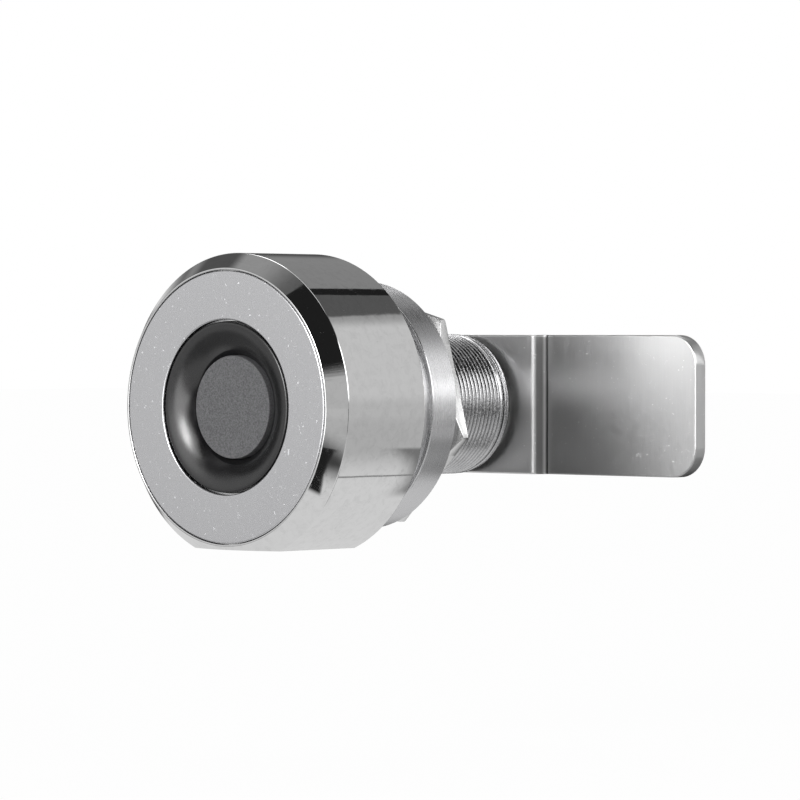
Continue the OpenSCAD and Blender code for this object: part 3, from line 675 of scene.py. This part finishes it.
def make_nut():
    """The hex nut with a turned bevel in front, sampled round the axis so that its curves are true."""
    sixth = math.radians(60)
    steps = 360
    bore = BARREL_R + 0.05
    rise = math.tan(math.radians(NUT_BEVEL))
    points, faces = [], []
    for col in range(steps):
        angle = 2 * math.pi * col / steps
        local = (angle - math.radians(NUT_TURN)) % sixth - sixth / 2
        radius = min(NUT_FLATS / 2 / math.cos(local), NUT_FLATS / math.sqrt(3) - 0.06)
        line = filleted([
            (bore, 0.0, 0.12), (NUT_SEAT_R, 0.0, 0.2), (radius, (radius - NUT_SEAT_R) * rise, 0.12),
            (radius, NUT_T, 0.14), (bore, NUT_T, 0.12),
        ], 3)
        rows = len(line)
        points += [(r * math.cos(angle), y, r * math.sin(angle)) for r, y in line]
    for col in range(steps):
        a, b = col * rows, ((col + 1) % steps) * rows
        for row in range(rows):
            nxt = (row + 1) % rows
            faces.append((a + row, b + row, b + nxt, a + nxt))
    finish_mesh(new_piece("panel_nut", points, faces, "nut_zinc", "nut", "hex_nut"), 28)


# Cam plate: a flat stamped outline with broken edges, pressed through a steep crank

def crank(start, first, second):
    """How one face steps up from start, with bends of radius first and second: its height at x, and
    where the plate is cut to follow the bends."""
    slope = math.radians(CRANK_ANGLE)
    low = start - first * math.tan(slope / 2)
    high = start + CAM_CRANK / math.tan(slope) + second * math.tan(slope / 2)
    low_end = low + first * math.sin(slope)
    high_end = high - second * math.sin(slope)

    def height(x):
        if x <= low:
            return 0.0
        if x < low_end:
            return first - math.sqrt(first ** 2 - (x - low) ** 2)
        if x >= high:
            return CAM_CRANK
        if x > high_end:
            return CAM_CRANK - second + math.sqrt(second ** 2 - (high - x) ** 2)
        return (x - start) * math.tan(slope)

    cuts = [low + first * math.sin(slope * i / 8) for i in range(9)]
    cuts += [high - second * math.sin(slope * i / 8) for i in range(9)]
    return height, cuts


def make_cam():
    front, front_cuts = crank(CRANK_START, CRANK_OUTER_R, CRANK_INNER_R)
    rear, rear_cuts = crank(CRANK_START - CRANK_BACK, CRANK_INNER_R, CRANK_OUTER_R)
    half = CAM_W / 2
    round_end = [math.radians(d) for d in range(90, 271, 3)]
    outline = [(half * math.cos(angle), half * math.sin(angle)) for angle in round_end]
    tip_x = CAM_REACH - TIP_R
    tip_z = half - TIP_R
    for sign in (-1, 1):
        for step in range(13):
            angle = math.radians(step * 7.5)
            turn = angle if sign < 0 else math.pi / 2 - angle
            outline.append((tip_x + TIP_R * math.sin(turn), sign * (tip_z + TIP_R * math.cos(turn))))
    made = bmesh.new()
    lower = [made.verts.new((x, 0.0, z)) for x, z in outline]
    face = made.faces.new(lower)
    up = bmesh.ops.extrude_face_region(made, geom=[face])
    for v in up["geom"]:
        if isinstance(v, bmesh.types.BMVert):
            v.co.y = CAM_T
    bmesh.ops.recalc_face_normals(made, faces=made.faces)
    mesh = bpy.data.meshes.new("cam_blank")
    made.to_mesh(mesh)
    made.free()
    for v in mesh.vertices:
        v.co = v.co * MM
    piece = place_piece(bpy.data.objects.new("cranked_cam", mesh), "cam_steel", "cam", ["cam_plate"])
    cut_with(piece, (-CAM_HOLE, -1, -CAM_HOLE), (CAM_HOLE, CAM_T + 1, CAM_HOLE))
    edges = piece.modifiers.new("edges", "BEVEL")
    edges.width = 0.22 * MM
    edges.segments = 3
    edges.limit_method = "ANGLE"
    edges.angle_limit = math.radians(50)
    bake(piece)
    made = bmesh.new()
    made.from_mesh(piece.data)
    for x in sorted(front_cuts + rear_cuts + [10.8, 14.6, 20.0, 30.0]):
        geom = made.verts[:] + made.edges[:] + made.faces[:]
        bmesh.ops.bisect_plane(made, geom=geom, plane_co=(x * MM, 0, 0), plane_no=(1, 0, 0), dist=1e-7)
    for v in made.verts:
        x, depth, z = v.co / MM
        share = depth / CAM_T
        v.co = Vector((x, CAM_Y + depth + front(x) * (1 - share) + rear(x) * share, z)) * MM
    # the map's U runs along the plate, across the grain
    layer = made.loops.layers.uv.new(GRAIN_MAP)
    for face in made.faces:
        for loop in face.loops:
            loop[layer].uv = (loop.vert.co.x / MM / CAM_REACH, loop.vert.co.z / MM / CAM_REACH)
    made.to_mesh(piece.data)
    made.free()
    finish_mesh(piece, 40)


def make_washer():
    points, faces = turned(filleted([
        (WASHER_HOLE_R, WASHER_Y0, 0.1), (WASHER_R, WASHER_Y0, 0.2), (WASHER_R, WASHER_Y1, 0.2),
        (WASHER_HOLE_R, WASHER_Y1, 0.1),
    ]), 96)
    finish_mesh(new_piece("flat_washer", points, faces, "washer_steel", "cam", "cam_washer"))


def make_screw():
    """The hex screw, sampled round the axis like the nut."""
    steps = 180
    points, faces = [], []
    y0, y1 = SCREW_HEAD_Y0, SCREW_HEAD_Y1
    tip = y0 - SCREW_LEN
    for col in range(steps):
        angle = 2 * math.pi * col / steps
        local = angle % math.radians(60) - math.radians(30)
        radius = min(SCREW_FLATS / 2 / math.cos(local), SCREW_FLATS / math.sqrt(3) - 0.05)
        bevel_r = SCREW_FLATS / 2 - 0.1
        drop = (radius - bevel_r) * math.tan(math.radians(30))
        line = filleted([
            (0.0, y1, 0), (bevel_r, y1, 0.1), (radius, y1 - drop, 0.08), (radius, y0, 0.1), (SCREW_R, y0, 0),
            (SCREW_R, tip, 0.4), (0.0, tip, 0),
        ], 3)
        rows = len(line)
        for r, y in line:
            points.append((r * math.cos(angle), y, r * math.sin(angle)))
    for col in range(steps):
        a, b = col * rows, ((col + 1) % steps) * rows
        for row in range(rows - 1):
            faces.append((a + row, b + row, b + row + 1, a + row + 1))
    made = bmesh.new()
    for p in points:
        made.verts.new(p)
    made.verts.ensure_lookup_table()
    for f in faces:
        made.faces.new([made.verts[i] for i in f])
    bmesh.ops.remove_doubles(made, verts=made.verts, dist=1e-4)
    made.verts.index_update()
    points = [tuple(v.co) for v in made.verts]
    faces = [tuple(v.index for v in f.verts) for f in made.faces]
    made.free()
    finish_mesh(new_piece("hex_screw", points, faces, "screw_steel", "cam", "cam_screw"), 32)


make_head()
make_ring()
make_bezel()
make_pad()
make_body()
make_pins()
make_nut()
make_cam()
make_washer()
make_screw()

# The CAD nodes that stay as they are take their slots' looks
for row in frame["record"]["subparts"]:
    data = frame["nodes"][row["node"]].data
    data.materials.clear()
    data.materials.append(LOOKS[row["material_slot"]])


# Camera, fitted to the photograph's outline
AZIMUTH = math.radians(42.53)
ELEVATION = math.radians(0.80)
ROLL = math.radians(0.06)
DISTANCE = 600.0
SIDE = -22.69
RISE = -0.96
FOCAL_PX = 4638.0
FRAME_PX = 800.0
SENSOR = 36.0
right = Vector((math.cos(AZIMUTH), math.sin(AZIMUTH), 0))
level_ahead = Vector((-math.sin(AZIMUTH), math.cos(AZIMUTH), 0))
ahead = level_ahead * math.cos(ELEVATION) - Vector((0, 0, math.sin(ELEVATION)))
upward = right.cross(ahead)
place = Vector((0, FACE_Y, 0)) - SIDE * right - RISE * upward - DISTANCE * ahead
camera_data = bpy.data.cameras.new("camera")
camera_data.sensor_width = SENSOR
camera_data.lens = FOCAL_PX / FRAME_PX * SENSOR
camera_data.clip_start = 0.01
camera_data.clip_end = 20.0
camera = bpy.data.objects.new("camera", camera_data)
bpy.context.scene.collection.objects.link(camera)
turn = Matrix((right, upward, -ahead)).transposed().to_4x4()
camera.matrix_world = Matrix.Translation(place * MM) @ turn @ Matrix.Rotation(ROLL, 4, "Z")
bpy.context.scene.camera = camera


# Surroundings: a pale floor, and a world of soft bright walls with dark boards and soft lamps.
# Levels are brightnesses, where 1 is white.
FLOOR_Z = -0.045
WALL = 0.62
HORIZON = 0.53
CEILING = 0.12
CEILING_LEFT = 0.32
SWEEP = 0.71
SWEEP_RIGHT = 0.48
LIT_WALL = 0.71
LIT_STRIP = 1.7
PALE = 0.78
DUSK = 0.14
DIM = 0.1
DARK = 0.07
BLACK = 0.015
KEY = 14.0
KEY_SOFT = 2.5
FILL = 2.9
TOP = 4.0
OVER = 1.0
FOOT = 3.0
FLOOR_TONE = 0.86
WHITE = (1.0, 1.0, 1.0, 1.0)
CAMERA_SHARE = 0.97

# Sectors of the room, in degrees round from the front, positive to the right
FRONT_LEFT = (-62.0, -8.0)
STRIP_LEFT = (-33.0, -15.0)
LEFT = (-112.0, -62.0)
BACK_LEFT = (-128.0, -112.0)
REAR_LEFT = (-200.0, -128.0)
CORNER = (62.0, 86.0)
CAMERA_SIDE = (34.0, 74.0)
TOWARDS = (31.0, 48.0)
SOFT_LAMP = (-14.0, 26.0)
KEY_LAMP = (-5.0, 15.0)
FILL_LAMP = (78.0, 127.0)
EDGE_LAMP = (-150.0, -112.0)


def blend(tree, low, high, mask):
    """low where the mask is 0 and high where it is 1."""
    made = node(tree, "ShaderNodeMix", {"data_type": "FLOAT"})
    for index, value in ((0, mask), (2, low), (3, high)):
        give(tree, made.inputs[index], value)
    return made.outputs[0]


def lay(tree, level, new, *masks):
    """level, with new laid over it where all the masks are 1."""
    return blend(tree, level, new, both(tree, *masks))


def inverse(tree, mask):
    return maths(tree, "SUBTRACT", 1.0, mask)


def grey(tree, level):
    return node(tree, "ShaderNodeCombineColor", Red=level, Green=level, Blue=level).outputs[0]


def glow(tree, kind, colour):
    """An emission or background shader of full strength."""
    return node(tree, kind, Color=colour, Strength=1.0).outputs[0]


def mixed_shaders(tree, share, first, second):
    made = tree.nodes.new("ShaderNodeMixShader")
    for socket, value in zip(made.inputs, (share, first, second)):
        tree.links.new(value, socket)
    return made.outputs[0]


def degrees_of(tree, angle):
    return maths(tree, "MULTIPLY", angle, 180 / math.pi)


def side_of(tree, x, y):
    """Degrees round from the front, positive to the right."""
    return degrees_of(tree, maths(tree, "ARCTAN2", x, maths(tree, "MULTIPLY", y, -1.0)))


def floor_level(tree):
    """How bright metal sees the floor: white near the lock, darker away from it, with boards lying on it.
    Lengths are in millimetres."""
    geometry = tree.nodes.new("ShaderNodeNewGeometry")
    place = node(tree, "ShaderNodeVectorMath", {"operation": "SCALE"}, i0=geometry.outputs["Position"])
    place.inputs["Scale"].default_value = 1000.0
    x, y, _ = split(tree, place.outputs[0])
    side = side_of(tree, x, y)
    out = length(tree, x, y)
    level = ramp(tree, x, 36.0, 80.0, SWEEP, SWEEP_RIGHT)
    level = blend(tree, level, HORIZON, ramp(tree, out, 150.0, 600.0))
    # dark sectors far out on the right and the left, behind, in front on the left and towards the camera
    far = ramp(tree, out, 140.0, 180.0)
    level = lay(tree, level, DIM, band(tree, side, *CORNER, 3.0), far)
    level = lay(tree, level, 0.08, band(tree, side, *LEFT, 4.0), far)
    behind = inverse(tree, band(tree, side, -118.0, 150.0, 5.0))
    level = lay(tree, level, DARK, behind, ramp(tree, out, 40.0, 70.0))
    level = lay(tree, level, 0.28, band(tree, side, -78.0, -10.0, 6.0), band(tree, out, 62.0, 200.0, 14.0))
    level = lay(tree, level, 0.06, band(tree, side, *TOWARDS, 2.5), ramp(tree, out, 60.0, 90.0))
    # a bright strip, which the edge of the bevel shows, and the shade behind it on the right
    level = lay(tree, level, 0.95, band(tree, y, -20.0, -7.0, 2.0), ramp(tree, x, 28.0, 34.0))
    past = maths(tree, "SUBTRACT", y, maths(tree, "MULTIPLY", x, 0.72))
    level = lay(tree, level, 0.2, band(tree, x, 28.0, 82.0, 4.0), ramp(tree, past, 3.0, 9.0))
    # what the collar sees low on its right, and the thin line on the knob's side
    level = lay(tree, level, DIM, band(tree, x, 26.0, 62.0, 3.0), band(tree, y, -6.0, 11.0, 3.0))
    level = lay(tree, level, 0.25, band(tree, x, 43.3, 44.7, 0.35), ramp(tree, y, 8.0, 14.0))
    # the foot of the front lamp, and a thin black board slanting across in front
    level = lay(tree, level, FOOT, band(tree, side, -12.0, 30.0, 4.0), ramp(tree, out, 190.0, 230.0))
    off = maths(tree, "ADD", maths(tree, "ADD", y, maths(tree, "MULTIPLY", x, 0.638)), 25.1)
    return lay(tree, level, BLACK, band(tree, x, 33.0, 86.0, 2.0), band(tree, off, -1.35, 1.35, 0.25))


def make_floor():
    """The floor: bright metal sees its boards and sweep, everything else a pale matte floor."""
    size = 3.0
    mesh = bpy.data.meshes.new("floor")
    corners = [(-size, -size), (size, -size), (size, size), (-size, size)]
    mesh.from_pydata([(x, y, FLOOR_Z) for x, y in corners], [], [(0, 1, 2, 3)])
    made, tree, shader = material("floor_pale", 0.0, Roughness=0.9)
    shader.inputs["Base Color"].default_value = (FLOOR_TONE, FLOOR_TONE, FLOOR_TONE, 1.0)
    rays = tree.nodes.new("ShaderNodeLightPath")
    # the camera sees it almost white, with a faint shadow
    share = maths(tree, "MULTIPLY", rays.outputs["Is Camera Ray"], CAMERA_SHARE)
    seen = mixed_shaders(tree, share, shader.outputs[0], glow(tree, "ShaderNodeEmission", WHITE))
    sweep = glow(tree, "ShaderNodeEmission", grey(tree, floor_level(tree)))
    surface = mixed_shaders(tree, rays.outputs["Is Glossy Ray"], seen, sweep)
    tree.links.new(surface, tree.nodes["Material Output"].inputs["Surface"])
    mesh.materials.append(made)
    floor = bpy.data.objects.new("floor", mesh)
    bpy.context.scene.collection.objects.link(floor)


def wobble(tree, direction, scale, detail, size):
    """A noise from minus half to half of size."""
    field = noise(tree, direction, scale, detail)
    return maths(tree, "MULTIPLY", maths(tree, "SUBTRACT", field, 0.5), size)


def walls_level(tree, side, tall):
    """The brightness of the walls, where side and tall are in degrees."""
    # the walls dim just below their sharp upper edge
    upper = ramp(tree, tall, 36.5, 40.6, 1.0, 0.55)
    level = maths(tree, "MULTIPLY", ramp(tree, tall, 0.0, 7.0, HORIZON, WALL), upper)
    level = blend(tree, level, DIM, ramp(tree, tall, 40.4, 41.0))
    # it is dark low down straight behind, and behind on the left
    behind = inverse(tree, band(tree, side, -145.0, 155.0, 5.0))
    level = lay(tree, level, DARK, behind, ramp(tree, tall, 14.0, 22.0, 1.0, 0.0))
    level = lay(tree, level, ramp(tree, tall, 10.0, 22.0, 0.08, 0.25), band(tree, side, *REAR_LEFT, 4.0))
    level = lay(tree, level, ramp(tree, tall, 2.0, 20.0, PALE, DUSK), band(tree, side, *BACK_LEFT, 4.0))
    level = lay(tree, level, 0.09, band(tree, side, *LEFT, 4.0))
    # and in a narrow corner on the right, below the lamp there
    level = lay(tree, level, DIM, band(tree, side, *CORNER, 3.0), ramp(tree, tall, 4.0, 7.0, 1.0, 0.0))
    # the wall in front on the left, which the face shows, with a lighter strip in it
    level = lay(tree, level, ramp(tree, tall, 18.0, 40.0, LIT_WALL, DUSK), band(tree, side, *FRONT_LEFT, 4.0))
    return lay(tree, level, LIT_STRIP, band(tree, side, *STRIP_LEFT, 4.0), band(tree, tall, -6.0, 24.0, 5.0))


def studio_level(tree, direction):
    """The brightness of the room in a direction."""
    x, y, z = split(tree, direction)
    tall = degrees_of(tree, maths(tree, "ARCSINE", z))
    side = side_of(tree, x, y)
    level = walls_level(tree, side, tall)
    # ceiling
    ceiling = ramp(tree, x, -0.45, 0.0, CEILING_LEFT, CEILING)
    level = blend(tree, level, ceiling, ramp(tree, tall, 46.0, 54.0))
    # the dark side of the room behind the camera, darkest towards it
    ragged = maths(tree, "ADD", tall, wobble(tree, direction, 70.0, 3.0, 16.0))
    level = lay(tree, level, ramp(tree, ragged, 15.0, 25.0, 0.5, BLACK), band(tree, side, *CAMERA_SIDE, 3.0))
    level = lay(tree, level, 0.05, band(tree, side, *TOWARDS, 2.5), ramp(tree, tall, 13.0, 19.0, 1.0, 0.0))
    # a black board overhead: a strip behind, and all of the right in front
    slant = maths(tree, "DIVIDE", x, maths(tree, "MAXIMUM", z, 0.05))
    depth = maths(tree, "DIVIDE", y, maths(tree, "MAXIMUM", z, 0.05))
    rear = ramp(tree, depth, 0.3, 0.5)
    high = ramp(tree, tall, 30.0, 36.0)
    bend = maths(tree, "ADD", maths(tree, "MULTIPLY", depth, 0.152), wobble(tree, direction, 60.0, 2.0, 0.03))
    edge = maths(tree, "ADD", slant, bend)
    end = inverse(tree, both(tree, rear, ramp(tree, slant, -0.065, -0.05)))
    level = lay(tree, level, BLACK, ramp(tree, edge, -0.035, -0.02), high, end)
    # the wall's dark top, which shows past the end of the strip
    level = lay(tree, level, DIM, rear, band(tree, slant, -0.058, 0.005, 0.006), high)
    # soft lamps in front and on the right
    level = lay(tree, level, KEY_SOFT, band(tree, side, *SOFT_LAMP, 5.0), band(tree, tall, -6.0, 42.0, 4.0))
    level = lay(tree, level, KEY, band(tree, side, *KEY_LAMP, 5.0), band(tree, tall, 10.0, 29.0, 5.0))
    level = lay(tree, level, FILL, band(tree, side, *FILL_LAMP, 4.0), band(tree, tall, 6.0, 40.0, 4.0))
    # overhead lamps behind, which light the knob's edges
    level = lay(tree, level, TOP, band(tree, side, *EDGE_LAMP, 4.0), band(tree, tall, 46.0, 62.0, 2.0))
    return lay(tree, level, OVER, ramp(tree, y, 0.12, 0.18), band(tree, tall, 60.0, 80.0, 3.0))


def make_world():
    world = bpy.data.worlds.new("studio")
    bpy.context.scene.world = world
    world.use_nodes = True
    tree = world.node_tree
    tree.nodes.clear()
    coords = tree.nodes.new("ShaderNodeTexCoord")
    lit = glow(tree, "ShaderNodeBackground", grey(tree, studio_level(tree, coords.outputs["Generated"])))
    seen = glow(tree, "ShaderNodeBackground", WHITE)
    rays = tree.nodes.new("ShaderNodeLightPath")
    surface = mixed_shaders(tree, rays.outputs["Is Camera Ray"], lit, seen)
    out = tree.nodes.new("ShaderNodeOutputWorld")
    tree.links.new(surface, out.inputs["Surface"])


make_floor()
make_world()
bpy.context.scene.view_settings.view_transform = "Standard"
